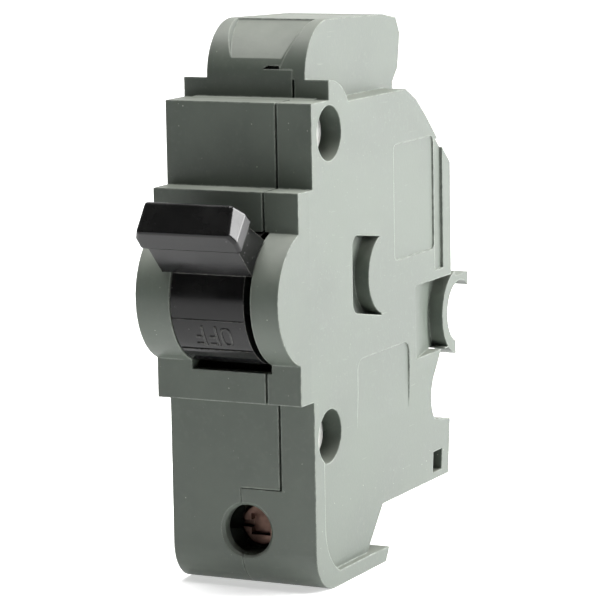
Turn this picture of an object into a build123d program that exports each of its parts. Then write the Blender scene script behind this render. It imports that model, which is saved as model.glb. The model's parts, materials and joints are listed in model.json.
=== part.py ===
from build123d import *
import os
from math import cos, sin, tan, radians

# Single-pole plug-on thermal-magnetic circuit breaker, one-inch pole, in millimetres.
# Origin: the flat rear face, at mid width, level with the handle's axis.
# +X runs across the pole towards the cover, +Z towards the line end (up),
# and -Y towards the front, where the handle stands out.

os.makedirs("parts", exist_ok=True)

# ---------- overall sizes ----------
pole_width = 25.4
case_above = 41.9                  # handle axis to the top of the line-end block
case_below = 47.6                  # handle axis to the bottom end
body_depth = 53.0                  # rear face to the upper front step
wall = 2.0
cover_depth = 6.3                  # how much of the width belongs to the cover
cover_groove = 0.4                 # width of the groove that marks the seam
groove_depth = 1.0
fit_gap = 0.05                     # radial clearance of a running fit
shadow_gap = 0.12                  # clearance between the stepped mouldings
overshoot = 0.2                    # how far a cutter runs past the face that it opens
rib_gap = 0.3                      # between a moulded post and what turns beside it
collar_gap = 0.15                  # between the wire collar and the walls of its pocket
panel_recess = 0.25                # label panels sunk in the cover's side
slot_recess = 0.45                 # long slot beside the rear edge of the cover

half_width = pole_width / 2
seam_x = half_width - cover_depth
inner_left = -half_width + wall
inner_right = half_width - wall
front_y = -body_depth
bottom_z = -case_below
top_z = case_above

# ---------- front steps and handle boss ----------
handle_set = 0.9                   # handle axis in front of the upper front step
boss_rise = 4.85                   # boss flats in front of the upper front step
boss_half = 16.6
boss_radius = 11.0
draft = 0.4                        # how much each side of the boss leans in
lower_rise = 0.6                   # lower block in front of the upper front step
upper_setback = 6.3                # top step behind the upper front step
step_drop = 12.0                   # top of the front step below the top end
ledge_drop = 8.9
shoulder_drop = 12.7
corner_radius = 6.5

handle_y = front_y - handle_set
flat_y = front_y - boss_rise
lower_y = front_y - lower_rise
upper_y = front_y + upper_setback
step_z = top_z - step_drop
ledge_z = top_z - ledge_drop
shoulder_z = top_z - shoulder_drop
arc_z = (boss_radius**2 - (boss_rise - handle_set) ** 2) ** 0.5

# ---------- line-end block ----------
block_half = half_width - 4.1
block_round = 8.7
block_rear_y = -14.0
block_foot = 5.0                   # how far the block is rooted in the body

# ---------- rear: bus throat, guard ring and rail notch ----------
throat_radius = 5.3
throat_y = 3.6
throat_z = -10.6
guard_thickness = 2.1
guard_reach = 7.1
guard_root = -3.0
throat_rise = (throat_radius**2 - throat_y**2) ** 0.5
rail_radius = 6.2
rail_y = -2.05
rail_z = -23.3

# ---------- bottom: wire mouth and lip ----------
rear_foot = 9.4                    # rear foot above the bottom end
lip_thickness = 2.4
mouth_front_y = -32.5
mouth_rear_y = -26.8
lip_end_y = -26.4
foot_z = bottom_z + rear_foot
lip_z = bottom_z + lip_thickness

# ---------- seam steps ----------
lower_seam_x = -0.4
lower_seam_z = bottom_z + 16.4
upper_seam_x = 1.3
upper_seam_z = top_z - 7.4

# ---------- rivets ----------
rivet_spots = [(front_y + 6.2, top_z - 17.1), (lower_y + 5.7, -23.0)]
rivet_radius = 1.6
rivet_head_radius = 3.4
rivet_head = 0.9
post_radius = 5.3
counterbore_radius = 4.36
counterbore_depth = 3.7

# ---------- handle ----------
handle_throw = 38.5                # degrees from straight out to either stop
drum_gap = 0.15
drum_radius = boss_radius - drum_gap
drum_wall = 2.25
drum_left = -6.25
drum_right = seam_x
drum_open = 4.2                    # the drum ends this far behind its axis
opening_half = boss_radius + 0.7
opening_left = drum_left - drum_gap
opening_right = seam_x + 1.2
web_left = 2.0
web_right = 4.0
hub_radius = 2.6
handle_pin_radius = 1.5
pin_boss_radius = handle_pin_radius + 1.7
peg_radius = 0.9
peg_reach = 4.6                    # handle axis to the peg that drives the arm
neck_half_width = 7.8
neck_clearance = 0.3
bar_half_width = 8.7
bar_facet_half = 6.9
bar_start = boss_radius + 6.3
bar_end = boss_radius + 11.5
bar_edge = 0.6

# ---------- contact arm ----------
arm_swing = 8.8                    # degrees from mid travel to either stop
arm_thickness = 1.5
arm_pin_radius = 1.2
arm_hub_radius = 2.6
limb_length = 25.0
tail_length = 19.2
fork_slot = 2 * (peg_radius + 0.3)
contact_closed_angle = 68.0        # lean of the arm above +Y when the contacts meet
tip_thickness = 1.2
tip_length = 3.6
tip_half_width = 2.0
contact_gap = 0.15                 # left between the tips when closed
spring_post = 0.5
spring_arm_reach = 9.0

arm_y = handle_y + peg_reach * cos(radians(handle_throw)) + (
    peg_reach * sin(radians(handle_throw)) / tan(radians(arm_swing))
)
arm_open_angle = contact_closed_angle + 2 * arm_swing
limb_half = 1.75

# ---------- lanes across the pole ----------
arm_left = -arm_thickness / 2
arm_right = arm_thickness / 2
pin_head = 0.5
spring_x = 2.45
spring_coil_radius = 0.7
spring_wire_radius = 0.2
cradle_left = 3.7
cradle_thickness = 1.5
cradle_right = cradle_left + cradle_thickness

# ---------- line side ----------
strap_thickness = 1.6
strap_half_width = 3.0
strap_y = -12.2
jaw_gap = 0.9                      # half the space between the leaves at their root
jaw_thickness = 1.0
jaw_half_height = 3.3
jaw_root_y = -16.0
jaw_tip_y = 4.6
clip_thickness = 0.55
clip_half_height = 1.8

# ---------- trip side ----------
cradle_y = handle_y + 12.4
cradle_z = -13.5
cradle_boss = 3.0
cradle_half = 2.0
armature_y = -20.2                 # front of the armature plate
armature_thickness = 1.0
ledge_reach = 1.0
latch_gap = 0.3
armature_left = 3.1
armature_right = 7.3
armature_pin_y = armature_y + armature_thickness / 2
armature_pin_z = bottom_z + 16.8
armature_pin_radius = 0.7
yoke_wall = 1.0
yoke_gap = 0.1
yoke_front_y = -17.4
yoke_back_y = -12.4
bimetal_y = -15.0
bimetal_thickness = 0.8
bimetal_top = -15.5
load_strap_thickness = 1.2
load_strap_top = bottom_z + 14.6

# ---------- terminal ----------
terminal_x = 0.5
terminal_z = bottom_z + 9.6
access_radius = 4.1
access_flare = 0.5
screw_radius = 2.41
screw_head_radius = 3.6
screw_head = 1.8
screw_front_y = lower_y + 4.8
collar_rear_y = -30.5
collar_wall = 1.6
collar_front_wall = 2.4
collar_half = 6.0
collar_half_height = 3.5
window_half = 4.2
clamp_travel = 4.2
plate_thickness = 1.2
wire_slot_half = 4.4
partition = 1.5
partition_z = bottom_z + 16.6
collar_front_y = screw_front_y + screw_head + clamp_travel + 0.2
window_front_y = collar_front_y + collar_front_wall
window_rear_y = collar_rear_y - collar_wall

# ---------- side panels and pads ----------
panel_depth = 1.3                  # depth of the lower side recess at the bottom
panel_start = bottom_z + 29.6
pad = 1.3
pocket_depth = 2.6
pocket_radius = 6.6
pocket_corner = 1.8
pocket_centre = (-26.35, 0.1)
scoop_depth = 2.7
scoop_start_y = -15.0


def side(x):
    """Plane across the pole at x; its sketch axes are Y and Z."""
    return Plane.YZ.offset(x)


def front(y):
    """Plane facing the front at y; its sketch axes are X and Z."""
    return Plane.XZ.offset(-y)


def lever(x, pivot_y, pivot_z, angle):
    """Plane across the pole at x whose own x axis leans at an angle above +Y."""
    lean = radians(angle)
    return Plane(origin=(x, pivot_y, pivot_z), x_dir=(0, cos(lean), sin(lean)), z_dir=(1, 0, 0))


def draw_body():
    """Side profile of the body that both mouldings share."""
    bend = 1 - sin(radians(45))
    with BuildLine() as outline:
        ThreePointArc(
            (lower_y + corner_radius, bottom_z),
            (lower_y + corner_radius * bend, bottom_z + corner_radius * bend),
            (lower_y, bottom_z + corner_radius),
        )
        Polyline(
            (lower_y, bottom_z + corner_radius),
            (lower_y, -boss_half),
            (flat_y, -boss_half),
            (flat_y, -arc_z),
        )
        ThreePointArc((flat_y, -arc_z), (handle_y - boss_radius, 0), (flat_y, arc_z))
        Polyline(
            (flat_y, arc_z),
            (flat_y, boss_half),
            (front_y, boss_half),
            (front_y, step_z),
            (upper_y, step_z),
            (upper_y, ledge_z),
        )
        ThreePointArc(
            (upper_y, ledge_z), (upper_y + 4.6, ledge_z - 1.3), (upper_y + 7.0, shoulder_z)
        )
        Polyline(
            (upper_y + 7.0, shoulder_z),
            (-17.8, shoulder_z),
            (-13.6, shoulder_z - 2.1),
            (-9.7, shoulder_z - 5.2),
            (-5.7, shoulder_z - 8.9),
            (0, shoulder_z - 13.9),
            (0, throat_z + throat_rise),
        )
        ThreePointArc(
            (0, throat_z + throat_rise),
            (throat_y - throat_radius, throat_z),
            (0, throat_z - throat_rise),
        )
        Polyline(
            (0, throat_z - throat_rise),
            (0, throat_z - 5.4),
            (-4.6, throat_z - 5.4),
            (-6.9, rail_z + 3.9),
        )
        ThreePointArc((-6.9, rail_z + 3.9), (rail_y - rail_radius, rail_z), (-6.5, rail_z - 4.3))
        Polyline(
            (-6.5, rail_z - 4.3),
            (0, rail_z - 5.4),
            (0, foot_z),
            (mouth_rear_y, foot_z),
            (mouth_front_y, lip_z),
            (mouth_front_y, bottom_z),
            (lower_y + corner_radius, bottom_z),
        )
    make_face(outline.edges())


def draw_guard(root):
    """Arms that stand round the bus throat at the rear, rooted at a given depth."""
    with BuildLine() as outline:
        Polyline(
            (root, throat_z + 6.3),
            (guard_reach, throat_z + 6.3),
            (guard_reach, throat_z + 3.5),
            (throat_y, throat_z),
            (root, throat_z),
            close=True,
        )
    make_face(outline.edges())
    with BuildLine() as outline:
        Polyline(
            (root, throat_z),
            (throat_y - 1.0, throat_z),
            (1.7, throat_z - 4.4),
            (1.7, throat_z - 5.6),
            (root, throat_z - 5.6),
            close=True,
        )
    make_face(outline.edges())
    with Locations((throat_y, throat_z)):
        Circle(throat_radius, mode=Mode.SUBTRACT)


def draw_lip():
    """Bottom lip that runs on behind the wire mouth."""
    with BuildLine() as outline:
        Polyline(
            (mouth_front_y - 1.0, bottom_z),
            (lip_end_y - 1.4, bottom_z),
            (lip_end_y, lip_z - 0.2),
            (mouth_front_y - 1.0, lip_z),
            close=True,
        )
    make_face(outline.edges())


def draw_block():
    """Side profile of the narrow block at the line end, rooted in the body."""
    bend = 1 - sin(radians(45))
    foot = shoulder_z - block_foot
    with BuildLine() as outline:
        Polyline((upper_y, foot), (upper_y, top_z - block_round))
        ThreePointArc(
            (upper_y, top_z - block_round),
            (upper_y + block_round * bend, top_z - block_round * bend),
            (upper_y + block_round, top_z),
        )
        Polyline(
            (upper_y + block_round, top_z),
            (-17.5, top_z - 0.6),
            (-12.4, top_z - 1.45),
            (-10.9, top_z - 4.1),
            (-11.9, top_z - 9.7),
            (block_rear_y, top_z - 11.9),
            (block_rear_y, foot),
            (upper_y, foot),
        )
    make_face(outline.edges())


def draw_partition():
    """Moulded wall between the trip chamber and the wire pocket, open for the load strap."""
    strap_foot = load_strap_top - load_strap_thickness
    with BuildLine() as outline:
        Polyline(
            (lower_y + wall / 2, partition_z),
            (-27.0, partition_z),
            (-27.0, partition_z + partition),
            (lower_y + wall / 2, partition_z + partition),
            close=True,
        )
    make_face(outline.edges())
    with BuildLine() as outline:
        Polyline(
            (-28.5, load_strap_top + 0.2),
            (-27.0, load_strap_top + 0.2),
            (-27.0, partition_z + partition),
            (-28.5, partition_z + partition),
            close=True,
        )
    make_face(outline.edges())
    with BuildLine() as outline:
        Polyline(
            (-26.6, foot_z + wall / 2),
            (-25.1, foot_z + wall / 2),
            (-25.1, strap_foot - 0.2),
            (-26.6, strap_foot - 0.2),
            close=True,
        )
    make_face(outline.edges())


def draw_collar_rib():
    """Rib that keeps the terminal collar in the middle of the pocket."""
    with BuildLine() as outline:
        Polyline(
            (collar_front_y + 1.5, terminal_z - 3.0),
            (collar_front_y + 5.0, terminal_z - 3.0),
            (collar_front_y + 5.0, terminal_z + 3.0),
            (collar_front_y + 1.5, terminal_z + 3.0),
            close=True,
        )
    make_face(outline.edges())


def draw_pad(y, z, length, height):
    """Rectangle that backs a sunk part of the side, kept inside the body."""
    draw_body()
    offset(amount=-wall / 2)
    with Locations((y, z)):
        Rectangle(length, height, mode=Mode.INTERSECT)


def draw_low_side():
    """Part of the side that sinks towards the bottom, inside a rim."""
    rim = 3.4
    with BuildLine() as outline:
        ThreePointArc(
            (lower_y + rim, bottom_z + 10.5),
            (lower_y + rim + 1.5, bottom_z + 5.4),
            (lower_y + corner_radius + 2.0, lip_z),
        )
        Polyline(
            (lower_y + rim, bottom_z + 10.5),
            (lower_y + rim, panel_start),
            (1.0, panel_start),
            (1.0, lip_z),
            (lower_y + corner_radius + 2.0, lip_z),
        )
    make_face(outline.edges())


# ---------- cutters shared by the two mouldings ----------
with BuildPart() as low_side_cut:
    with BuildSketch(Plane.XZ):
        with BuildLine():
            Polyline(
                (half_width, panel_start),
                (half_width + 1, panel_start),
                (half_width + 1, bottom_z),
                (half_width - panel_depth, bottom_z),
                close=True,
            )
        make_face()
        mirror(about=Plane.YZ)
    extrude(amount=body_depth + 10, both=True)
    with BuildSketch(side(-half_width - 1)):
        draw_low_side()
    extrude(amount=pole_width + 2, mode=Mode.INTERSECT)

with BuildPart() as boss_draft_cut:
    with BuildSketch(Plane.XY.offset(-boss_half)):
        with BuildLine():
            Polyline(
                (half_width, front_y - 1.4),
                (half_width + 1, front_y - 1.4),
                (half_width + 1, handle_y - boss_radius - 1),
                (half_width - draft, handle_y - boss_radius - 1),
                close=True,
            )
        make_face()
        mirror(about=Plane.YZ)
    extrude(amount=2 * boss_half)

# The scoop sinks into the rounded front of the line-end block and widens upwards.
with BuildPart() as scoop_cut:
    with BuildSketch(side(-block_half)):
        with BuildLine():
            scoop_floor = ThreePointArc(
                (upper_y - overshoot, top_z - 6.7),
                (upper_y + 3.4, top_z - 2.9),
                (upper_y + 9.6, top_z + overshoot),
            )
            Polyline(
                scoop_floor @ 1,
                (upper_y - 1.0, top_z + 1.0),
                (upper_y - 1.0, top_z - 6.7),
                scoop_floor @ 0,
            )
        make_face()
    extrude(amount=2 * block_half)
    with BuildSketch(front(0)):
        with BuildLine():
            Polyline(
                (-4.1, top_z - 6.7),
                (3.9, top_z - 6.7),
                (7.2, top_z + 1.0),
                (-7.4, top_z + 1.0),
                close=True,
            )
        make_face()
    extrude(amount=body_depth, mode=Mode.INTERSECT)
    fillet(scoop_cut.edges().filter_by(Axis.X), 0.4)

# Piece of the block's front wall that belongs to the cover, right of the scoop.
with BuildPart() as cover_horn:
    with BuildSketch(front(upper_y + 9.0)):
        with BuildLine():
            Polyline(
                (4.1, upper_seam_z),
                (seam_x, upper_seam_z),
                (seam_x, top_z - 1.6),
                close=True,
            )
        make_face()
    extrude(amount=12.0)
    with BuildSketch(side(0)):
        draw_block()
    extrude(amount=seam_x, mode=Mode.INTERSECT)
    with BuildSketch(side(0)):
        draw_block()
        offset(amount=-wall)
    extrude(amount=seam_x, mode=Mode.SUBTRACT)

with BuildPart() as access_cut:
    with BuildSketch(front(lower_y + wall + 0.5)):
        with Locations((terminal_x, terminal_z)):
            Circle(access_radius)
    extrude(amount=wall + 1.0)
    with BuildSketch(front(lower_y + access_flare)):
        with Locations((terminal_x, terminal_z)):
            Circle(access_radius)
    extrude(amount=access_flare, taper=-45)

with BuildPart() as wire_slot_cut:
    with BuildSketch(Plane.XY.offset(bottom_z - 1)):
        with BuildLine():
            Polyline(
                (terminal_x - wire_slot_half, lip_end_y + 1),
                (terminal_x - wire_slot_half, window_front_y + 3.0),
                (terminal_x - wire_slot_half + 2.3, window_front_y + 0.7),
                (terminal_x + wire_slot_half - 2.3, window_front_y + 0.7),
                (terminal_x + wire_slot_half, window_front_y + 3.0),
                (terminal_x + wire_slot_half, lip_end_y + 1),
                close=True,
            )
        make_face()
    extrude(amount=lip_thickness + 1.5)

# The terminal collar stands in its own pocket, cut a little into the sloping rear wall.
with BuildPart() as collar_pocket_cut:
    with BuildSketch(Plane.XY.offset(terminal_z - collar_half_height - overshoot)):
        with Locations((terminal_x, (collar_front_y + collar_rear_y) / 2)):
            Rectangle(2 * (collar_half + overshoot), collar_rear_y - collar_front_y + 2 * overshoot)
    extrude(amount=2 * (collar_half_height + overshoot))

# ---------- base: the deep moulding ----------
with BuildPart() as base_case:
    with BuildSketch(side(-half_width)):
        draw_body()
        draw_guard(guard_root)
        draw_lip()
    extrude(amount=half_width + seam_x)
    with BuildSketch(side(-block_half)):
        draw_block()
    extrude(amount=block_half + seam_x)
    with BuildSketch(side(inner_left)):
        draw_body()
        offset(amount=-wall)
    extrude(amount=seam_x - inner_left, mode=Mode.SUBTRACT)
    with BuildSketch(side(-block_half + wall)):
        draw_block()
        offset(amount=-wall)
    extrude(amount=block_half - wall + seam_x, mode=Mode.SUBTRACT)
    with BuildSketch(side(inner_left)):
        draw_body()
        offset(amount=-wall / 2)
        with Locations((-body_depth / 2, partition_z + body_depth)):
            Rectangle(3 * body_depth, 2 * body_depth, mode=Mode.SUBTRACT)
    extrude(amount=pad)
    with BuildSketch(side(inner_left)):
        draw_partition()
    extrude(amount=seam_x - inner_left)
    with BuildSketch(side(inner_left)):
        draw_collar_rib()
    extrude(amount=terminal_x - collar_half - collar_gap - inner_left)
    with BuildSketch(side(inner_left)):
        with Locations(*rivet_spots):
            Circle(post_radius)
    extrude(amount=seam_x - inner_left)
    with BuildSketch(side(inner_left)):
        with Locations((handle_y, 0)):
            Circle(pin_boss_radius)
    extrude(amount=drum_left - 0.2 - inner_left)
    with BuildSketch(side(inner_left)):
        with Locations((arm_y, 0)):
            Circle(arm_hub_radius)
    extrude(amount=arm_left - rib_gap - inner_left)
    with BuildSketch(side(inner_left)):
        with Locations((cradle_y, cradle_z)):
            Circle(cradle_boss - 0.4)
    extrude(amount=cradle_left - rib_gap - inner_left)
    # steps in the seam: the cover reaches further left near the bottom and beside the scoop
    with BuildSketch(side(lower_seam_x - shadow_gap)):
        with Locations((-body_depth / 2, lower_seam_z + shadow_gap - body_depth)):
            Rectangle(3 * body_depth, 2 * body_depth)
    extrude(amount=half_width, mode=Mode.SUBTRACT)
    add(cover_horn.part, mode=Mode.SUBTRACT)
    with BuildSketch(front(upper_y + 1.8)):
        with BuildLine():
            Polyline(
                (upper_seam_x, upper_seam_z),
                (4.2, upper_seam_z),
                (4.0, upper_seam_z + 0.55),
                (upper_seam_x + 0.6, upper_seam_z + 0.55),
                close=True,
            )
        make_face()
    extrude(amount=3.0, mode=Mode.SUBTRACT)
    # openings
    with BuildSketch(front(front_y + 2.5)):
        with Locations(((opening_left + seam_x) / 2, -opening_half / 2)):
            Rectangle(seam_x - opening_left, opening_half)
    extrude(amount=boss_radius + 4, mode=Mode.SUBTRACT)
    with BuildSketch(side(opening_left)):
        with Locations((handle_y, 0)):
            Circle(boss_radius + drum_gap)
    extrude(amount=seam_x - opening_left, mode=Mode.SUBTRACT)
    with BuildSketch(front(throat_y)):
        with Locations((0, throat_z)):
            Rectangle(2 * jaw_gap + 4.0, 2 * jaw_half_height + 0.6)
    extrude(amount=12.0, mode=Mode.SUBTRACT)
    add(access_cut.part, mode=Mode.SUBTRACT)
    add(wire_slot_cut.part, mode=Mode.SUBTRACT)
    add(collar_pocket_cut.part, mode=Mode.SUBTRACT)
    add(scoop_cut.part, mode=Mode.SUBTRACT)
    add(boss_draft_cut.part, mode=Mode.SUBTRACT)
    add(low_side_cut.part, mode=Mode.SUBTRACT)
    # rivets and pins
    with BuildSketch(side(-half_width)):
        with Locations(*rivet_spots):
            Circle(rivet_radius)
    extrude(amount=pole_width, mode=Mode.SUBTRACT)
    with BuildSketch(side(-half_width)):
        with Locations(*rivet_spots):
            Circle(counterbore_radius)
    extrude(amount=counterbore_depth, mode=Mode.SUBTRACT)
    with BuildSketch(side(inner_left - 0.8)):
        with Locations((handle_y, 0)):
            Circle(handle_pin_radius)
        with Locations((arm_y, 0)):
            Circle(arm_pin_radius)
        with Locations((cradle_y, cradle_z)):
            Circle(arm_pin_radius)
    extrude(amount=pole_width, mode=Mode.SUBTRACT)
base_case.part.label = "base_case"
export_step(base_case.part, "parts/base_case.step")

# ---------- cover: the shallow moulding ----------
with BuildPart() as cover_case:
    with BuildSketch(side(seam_x)):
        draw_body()
        draw_guard(guard_root)
        draw_lip()
    extrude(amount=cover_depth)
    with BuildSketch(side(lower_seam_x)):
        draw_body()
        draw_lip()
        with Locations((-body_depth / 2, lower_seam_z + body_depth)):
            Rectangle(3 * body_depth, 2 * body_depth, mode=Mode.SUBTRACT)
    extrude(amount=seam_x - lower_seam_x)
    with BuildSketch(side(seam_x)):
        draw_block()
    extrude(amount=block_half - seam_x)
    with BuildSketch(side(lower_seam_x)):
        draw_body()
        offset(amount=-wall)
    extrude(amount=inner_right - lower_seam_x, mode=Mode.SUBTRACT)
    add(cover_horn.part)
    # pads behind the sunk parts of the side
    with BuildSketch(side(inner_right - pad)):
        draw_body()
        offset(amount=-wall / 2)
        with Locations((-body_depth / 2, partition_z + body_depth)):
            Rectangle(3 * body_depth, 2 * body_depth, mode=Mode.SUBTRACT)
    extrude(amount=pad)
    with BuildSketch(side(half_width - pocket_depth - wall)):
        draw_pad(pocket_centre[0] - 5.0, pocket_centre[1], 20.0, 18.0)
    extrude(amount=pocket_depth)
    with BuildSketch(side(half_width - scoop_depth - wall)):
        draw_pad(scoop_start_y / 2, throat_z + 0.7, -scoop_start_y, 15.0)
    extrude(amount=scoop_depth)
    with BuildSketch(side(seam_x)):
        draw_partition()
    extrude(amount=inner_right - seam_x)
    with BuildSketch(side(terminal_x + collar_half + collar_gap)):
        draw_collar_rib()
    extrude(amount=inner_right - terminal_x - collar_half - collar_gap)
    with BuildSketch(side(seam_x)):
        with Locations(*rivet_spots):
            Circle(post_radius)
    extrude(amount=inner_right - seam_x)
    with BuildSketch(side(opening_right + rib_gap)):
        with Locations((handle_y, 0)):
            Circle(pin_boss_radius)
    extrude(amount=inner_right - opening_right - rib_gap)
    # seam groove round the edge of the cover
    with BuildSketch(side(seam_x)):
        draw_body()
        offset(amount=-groove_depth, mode=Mode.SUBTRACT)
        with Locations((-body_depth / 2, lower_seam_z - body_depth)):
            Rectangle(3 * body_depth, 2 * body_depth, mode=Mode.SUBTRACT)
    extrude(amount=cover_groove, mode=Mode.SUBTRACT)
    # openings
    with BuildSketch(front(front_y + 2.5)):
        with Locations(((opening_right + seam_x) / 2, -opening_half / 2)):
            Rectangle(opening_right - seam_x, opening_half)
    extrude(amount=boss_radius + 4, mode=Mode.SUBTRACT)
    with BuildSketch(side(seam_x)):
        with Locations((handle_y, 0)):
            Circle(boss_radius + drum_gap)
    extrude(amount=opening_right - seam_x, mode=Mode.SUBTRACT)
    add(access_cut.part, mode=Mode.SUBTRACT)
    add(wire_slot_cut.part, mode=Mode.SUBTRACT)
    add(collar_pocket_cut.part, mode=Mode.SUBTRACT)
    add(boss_draft_cut.part, mode=Mode.SUBTRACT)
    add(scoop_cut.part, mode=Mode.SUBTRACT)
    add(low_side_cut.part, mode=Mode.SUBTRACT)
    # crescent pocket, whose round island carries on to the rear
    with BuildSketch(side(half_width - pocket_depth)):
        with BuildLine():
            Polyline(
                (pocket_centre[0] - 12.65, pocket_centre[1] + 7.7),
                (pocket_centre[0] - 0.6, pocket_centre[1] + 6.0),
                (pocket_centre[0] - 1.9, pocket_centre[1] - 6.7),
                (pocket_centre[0] - 12.65, pocket_centre[1] - 4.8),
                close=True,
            )
        pocket_face = make_face()
        fillet(pocket_face.vertices().sort_by(Axis.X)[0:2], pocket_corner)
        with Locations(pocket_centre):
            Circle(pocket_radius, mode=Mode.SUBTRACT)
    extrude(amount=pocket_depth, mode=Mode.SUBTRACT)
    # scooped hollow that leaves the guard ring standing
    with BuildSketch(Plane.XY.offset(throat_z - 5.4)):
        with BuildLine():
            Polyline(
                (half_width, scoop_start_y),
                (half_width + 1, scoop_start_y),
                (half_width + 1, 1.0),
                (half_width - scoop_depth, 1.0),
                (half_width - scoop_depth, guard_root),
                close=True,
            )
        make_face()
    extrude(amount=12.2, mode=Mode.SUBTRACT)
    with BuildSketch(side(half_width - scoop_depth - 0.3)):
        draw_guard(0.3)
        with Locations((throat_y, throat_z)):
            Circle(throat_radius + guard_thickness)
            Circle(throat_radius, mode=Mode.SUBTRACT)
        with Locations((throat_y + 8.0, throat_z)):
            Rectangle(16.0 + 2 * (throat_y - 1.7), 20.0, mode=Mode.SUBTRACT)
    extrude(amount=scoop_depth + 0.3)
    # shallow panels, rear band and factory slot
    with BuildSketch(side(half_width - panel_recess)):
        with Locations((-14.9, throat_z + 21.6)):
            RectangleRounded(15.8, 19.0, 1.0)
        with Locations((-27.5, -23.0)):
            RectangleRounded(20.0, 21.0, 2.0)
    extrude(amount=1.0, mode=Mode.SUBTRACT)
    with BuildSketch(side(half_width - slot_recess)):
        with Locations((-5.0, throat_z + 19.4)):
            Rectangle(3.4, 22.0)
    extrude(amount=1.0, mode=Mode.SUBTRACT)
    with BuildSketch(side(half_width - panel_depth - 1.6)):
        with Locations((-4.85, foot_z + 3.0)):
            Rectangle(3.7, 3.6)
    extrude(amount=4.0, mode=Mode.SUBTRACT)
    # rivets and pins
    with BuildSketch(side(lower_seam_x)):
        with Locations(*rivet_spots):
            Circle(rivet_radius)
    extrude(amount=pole_width, mode=Mode.SUBTRACT)
    with BuildSketch(side(half_width - counterbore_depth)):
        with Locations(*rivet_spots):
            Circle(counterbore_radius)
    extrude(amount=counterbore_depth, mode=Mode.SUBTRACT)
    with BuildSketch(side(seam_x)):
        with Locations((handle_y, 0)):
            Circle(handle_pin_radius)
    extrude(amount=inner_right + 0.8 - seam_x, mode=Mode.SUBTRACT)
cover_case.part.label = "cover_case"
export_step(cover_case.part, "parts/cover_case.step")

# ---------- rivets ----------
rivet_end = half_width - counterbore_depth
with BuildPart() as case_rivets:
    with BuildSketch(side(-rivet_end)):
        with Locations(*rivet_spots):
            Circle(rivet_radius)
    extrude(amount=2 * rivet_end)
    with BuildSketch(side(rivet_end)):
        with Locations(*rivet_spots):
            Circle(rivet_head_radius)
    extrude(amount=rivet_head)
    with BuildSketch(side(-rivet_end)):
        with Locations(*rivet_spots):
            Circle(rivet_head_radius)
    extrude(amount=-rivet_head)
    rims = case_rivets.edges().filter_by(GeomType.CIRCLE).group_by(Axis.X)
    fillet(rims[0] + rims[-1], rivet_head * 0.6)
    with BuildSketch(side(rivet_end + rivet_head)):
        with Locations(*rivet_spots):
            Circle(rivet_radius * 0.7)
    extrude(amount=-rivet_head, mode=Mode.SUBTRACT)
case_rivets.part.label = "case_rivets"
export_step(case_rivets.part, "parts/case_rivets.step")

# ---------- handle: drum, neck and finger bar, drawn along its own lean ----------
handle_lean = 180 - handle_throw


def handle_plane(x):
    """Plane whose x axis points out along the handle and whose y axis points below it."""
    return lever(x, handle_y, 0, handle_lean)


with BuildPart() as finger_bar:
    with BuildSketch(handle_plane(-bar_half_width)):
        with BuildLine():
            Polyline(
                (bar_start, 3.0),
                (bar_end - 0.9, 2.4),
                (bar_end, -2.85),
                (bar_start, -3.2),
                close=True,
            )
        make_face()
    extrude(amount=2 * bar_half_width)
    finger_plan = Plane(
        origin=(0, handle_y, 0),
        x_dir=(0, cos(radians(handle_lean)), sin(radians(handle_lean))),
        z_dir=(0, -sin(radians(handle_lean)), cos(radians(handle_lean))),
    )
    with BuildSketch(finger_plan):
        with BuildLine():
            Polyline(
                (bar_start - 1, -bar_half_width),
                (bar_end - 2.6, -bar_half_width),
                (bar_end + 1, -bar_facet_half),
                (bar_end + 1, bar_facet_half),
                (bar_end - 2.6, bar_half_width),
                (bar_start - 1, bar_half_width),
                close=True,
            )
        make_face()
    extrude(amount=5.0, both=True, mode=Mode.INTERSECT)
    fillet(finger_bar.edges(), bar_edge)

with BuildPart() as handle:
    with BuildSketch(handle_plane(drum_left)):
        Circle(drum_radius)
        Circle(drum_radius - drum_wall, mode=Mode.SUBTRACT)
        with Locations((-drum_open - drum_radius, 0)):
            Rectangle(2 * drum_radius, 2 * drum_radius, mode=Mode.SUBTRACT)
    extrude(amount=drum_right - drum_left)
    with BuildSketch(handle_plane(web_left)):
        Circle(drum_radius - drum_wall / 2)
        with Locations((-peg_reach - 1.9 - drum_radius, 0)):
            Rectangle(2 * drum_radius, 2 * drum_radius, mode=Mode.SUBTRACT)
    extrude(amount=web_right - web_left)
    with BuildSketch(handle_plane(drum_left)):
        Circle(hub_radius)
    extrude(amount=drum_right - drum_left)
    with BuildSketch(handle_plane(arm_left - 0.25)):
        with Locations((-peg_reach, 0)):
            Circle(peg_radius)
    extrude(amount=web_left - arm_left + 0.5)
    with BuildSketch(handle_plane(-neck_half_width)):
        with BuildLine():
            Polyline(
                (boss_radius - 2, 3.2),
                (bar_start + 0.6, 2.25),
                (bar_start + 0.6, -2.25),
                (boss_radius - 2, -3.95),
                close=True,
            )
        make_face()
        Circle(boss_radius + neck_clearance, mode=Mode.SUBTRACT)
    extrude(amount=2 * neck_half_width)
    with BuildSketch(handle_plane(drum_left)):
        with Locations((drum_radius + 0.2, 0)):
            Rectangle(2.6, 5.6)
    extrude(amount=drum_right - drum_left)
    add(finger_bar.part)
    with BuildSketch(handle_plane(-half_width)):
        Circle(handle_pin_radius + fit_gap)
    extrude(amount=pole_width, mode=Mode.SUBTRACT)
handle.part.label = "handle"
export_step(handle.part, "parts/handle.step")

with BuildPart() as handle_pin:
    with BuildSketch(side(inner_left - 0.8)):
        with Locations((handle_y, 0)):
            Circle(handle_pin_radius)
    extrude(amount=inner_right - inner_left + 1.6)
handle_pin.part.label = "handle_pin"
export_step(handle_pin.part, "parts/handle_pin.step")

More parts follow.
